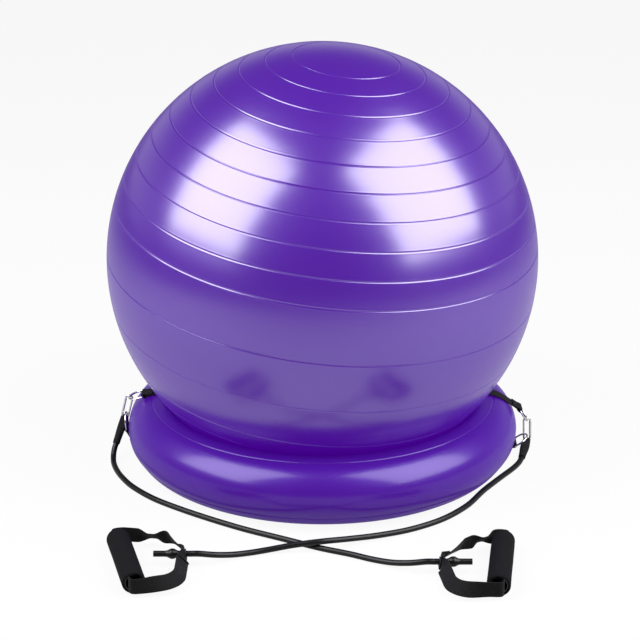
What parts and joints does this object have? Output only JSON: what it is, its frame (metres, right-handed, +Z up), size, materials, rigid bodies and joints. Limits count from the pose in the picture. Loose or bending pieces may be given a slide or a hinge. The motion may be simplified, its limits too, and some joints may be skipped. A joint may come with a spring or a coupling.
{
  "type": "stability ball with ring base and resistance bands",
  "caption": "Ribbed violet stability ball seated in an inflatable ring base, with strapped-on latex tubes that end in foam-grip handles.",
  "frame": {"origin": "on the floor, at the middle of the ball's flat patch", "axes": "+Z up; the two straps lie along X and the handles lie towards -Y"},
  "size_m": [0.654, 0.8236, 0.643],
  "materials": {
    "ball_vinyl": "pearl violet PVC, moulded, glossy",
    "ring_vinyl": "violet PVC sheet, glossy, welded",
    "valve_plastic": "moulded soft PVC",
    "plug_plastic": "moulded polyethylene",
    "strap_webbing": "woven black polypropylene webbing",
    "chrome_steel": "nickel-plated steel wire",
    "spring_steel": "spring steel wire",
    "boot_webbing": "sewn black webbing",
    "latex": "black dipped latex tube",
    "handle_webbing": "woven black nylon webbing",
    "eyelet_metal": "black-painted brass",
    "hard_plastic": "moulded polypropylene",
    "foam": "closed-cell NBR foam, matt"
  },
  "bodies": {
    "ring_base": {"ring_shell": "ring_vinyl", "ring_valve_seat": "valve_plastic", "left_strap": "strap_webbing", "right_strap": "strap_webbing", "left_hook_body": "chrome_steel", "right_hook_body": "chrome_steel", "left_band_boot": "boot_webbing", "right_band_boot": "boot_webbing", "left_band_end_plug": "hard_plastic", "right_band_end_plug": "hard_plastic", "left_band_tube": "latex", "right_band_tube": "latex"},
    "ball": {"ball_shell": "ball_vinyl", "ball_valve_seat": "valve_plastic"},
    "ball_plug": {"ball_air_plug": "plug_plastic"},
    "ring_plug": {"ring_air_plug": "plug_plastic"},
    "left_upper_d": {"left_upper_d_ring": "chrome_steel"},
    "left_lower_d": {"left_lower_d_ring": "chrome_steel"},
    "left_gate": {"left_hook_gate": "chrome_steel", "left_gate_pin": "spring_steel", "left_gate_spring": "spring_steel"},
    "right_upper_d": {"right_upper_d_ring": "chrome_steel"},
    "right_lower_d": {"right_lower_d_ring": "chrome_steel"},
    "right_gate": {"right_hook_gate": "chrome_steel", "right_gate_pin": "spring_steel", "right_gate_spring": "spring_steel"},
    "left_band_handle": {"left_band_webbing": "handle_webbing", "left_band_eyelet": "eyelet_metal", "left_band_tail": "latex", "left_band_stop_ball": "hard_plastic"},
    "left_band_grip": {"left_band_sleeve": "hard_plastic", "left_band_foam_grip": "foam"},
    "right_band_handle": {"right_band_webbing": "handle_webbing", "right_band_eyelet": "eyelet_metal", "right_band_tail": "latex", "right_band_stop_ball": "hard_plastic"},
    "right_band_grip": {"right_band_sleeve": "hard_plastic", "right_band_foam_grip": "foam"}
  },
  "joints": [
    {"name": "ball_lift", "type": "slide", "parent": "ring_base", "child": "ball", "axis": [0, 0, 1], "range_m": [0, 0.25]},
    {"name": "ball_plug_pull", "type": "slide", "parent": "ball", "child": "ball_plug", "axis": [0.0156, 0.9808, 0.1946], "range_m": [0, 0.03]},
    {"name": "ring_plug_pull", "type": "slide", "parent": "ring_base", "child": "ring_plug", "axis": [0, 0.866, 0.5], "range_m": [0, 0.03]},
    {"name": "left_upper_d_swing", "type": "hinge", "parent": "ring_base", "child": "left_upper_d", "pos_m": [-0.27769, 0, 0.09602], "axis": [0, -1, 0], "range_deg": [0, 7]},
    {"name": "left_lower_d_swing", "type": "hinge", "parent": "ring_base", "child": "left_lower_d", "pos_m": [-0.30502, 0, 0.04126], "axis": [0, 1, 0], "range_deg": [0, 4]},
    {"name": "left_gate_open", "type": "hinge", "parent": "ring_base", "child": "left_gate", "pos_m": [-0.31162, 0, 0.06311], "axis": [0, 1, 0], "range_deg": [0, 12], "stiffness_Nm_per_rad": 0.02, "springref_deg": -28.65},
    {"name": "right_upper_d_swing", "type": "hinge", "parent": "ring_base", "child": "right_upper_d", "pos_m": [0.30729, 0, 0.072], "axis": [0, 1, 0], "range_deg": [0, 4]},
    {"name": "right_lower_d_swing", "type": "hinge", "parent": "ring_base", "child": "right_lower_d", "pos_m": [0.30073, 0, 0.01318], "axis": [0, -1, 0], "range_deg": [0, 7]},
    {"name": "right_gate_open", "type": "hinge", "parent": "ring_base", "child": "right_gate", "pos_m": [0.32497, 0, 0.02368], "axis": [0, -1, 0], "range_deg": [0, 12], "stiffness_Nm_per_rad": 0.02, "springref_deg": -28.65},
    {"name": "left_band_pull", "type": "slide", "parent": "ring_base", "child": "left_band_handle", "axis": [1, 0, 0], "range_m": [0, 0.25], "stiffness_N_per_m": 75, "deforming": ["left_band_tube"]},
    {"name": "left_band_grip_spin", "type": "hinge", "parent": "left_band_handle", "child": "left_band_grip", "pos_m": [0.24438, -0.41825, 0.0165], "axis": [0.1305, 0.9914, 0], "continuous": true},
    {"name": "right_band_pull", "type": "slide", "parent": "ring_base", "child": "right_band_handle", "axis": [-1, 0, 0], "range_m": [0, 0.25], "stiffness_N_per_m": 75, "deforming": ["right_band_tube"]},
    {"name": "right_band_grip_spin", "type": "hinge", "parent": "right_band_handle", "child": "right_band_grip", "pos_m": [-0.26952, -0.41153, 0.0165], "axis": [0.2504, -0.9681, 0], "continuous": true}
  ]
}
